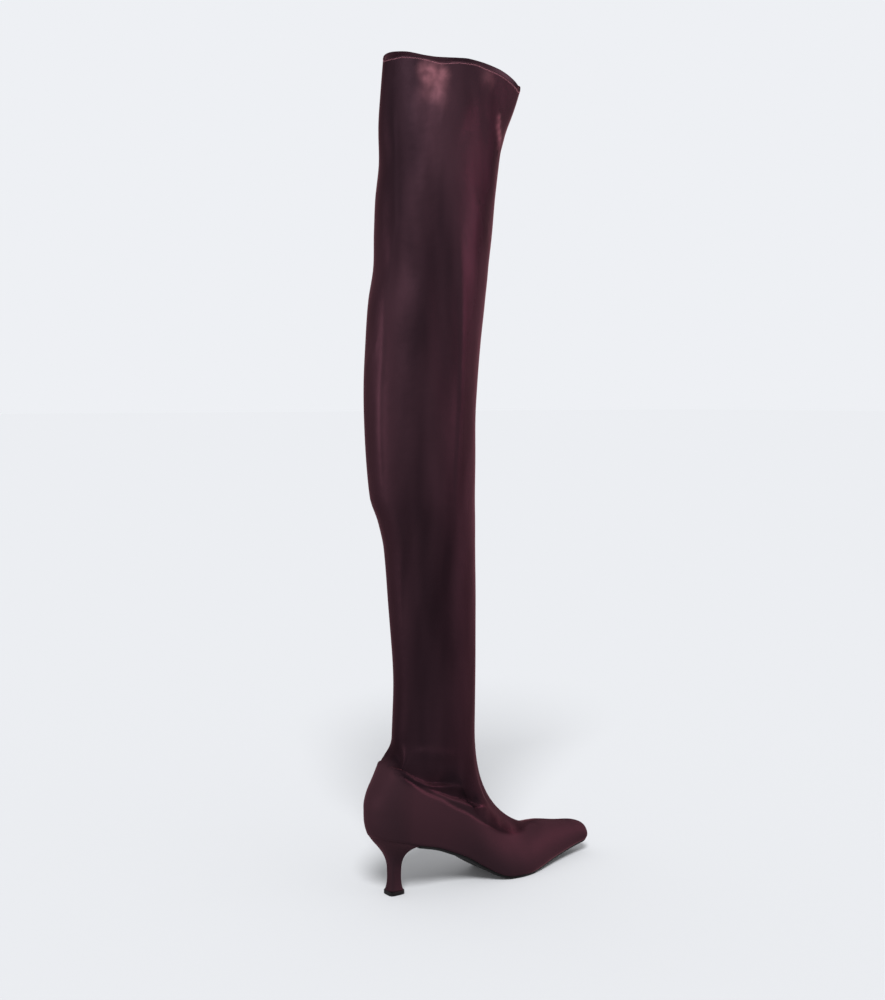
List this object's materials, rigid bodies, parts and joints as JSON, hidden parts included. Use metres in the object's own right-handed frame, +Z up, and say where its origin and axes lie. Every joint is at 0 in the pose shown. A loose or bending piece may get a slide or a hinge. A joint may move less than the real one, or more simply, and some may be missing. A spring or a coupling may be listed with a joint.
{
  "type": "thigh high boot",
  "caption": "Over-the-knee stretch satin boot with a pointed toe, a slim flared heel and a close-fitting leg open at the top.",
  "frame": {"origin": "centre of the bounding box on the floor, below the middle of the foot", "axes": "+Z up along the leg, the toe points to -Y, the wearer's outer (right) side is -X"},
  "size_m": [0.0838, 0.2686, 0.7978],
  "materials": {
    "upper_satin": "soft sheen satin",
    "shaft_satin": "soft sheen stretch satin",
    "insole_leather": "matt lining",
    "outsole_leather": "smooth black",
    "heel_satin": "satin stretched over a moulded heel",
    "tip_rubber": "matt black"
  },
  "bodies": {
    "root": {"upper": "upper_satin", "shaft": "shaft_satin", "insole": "insole_leather", "outsole": "outsole_leather", "heel": "heel_satin", "heel_tip": "tip_rubber"}
  },
  "joints": []
}
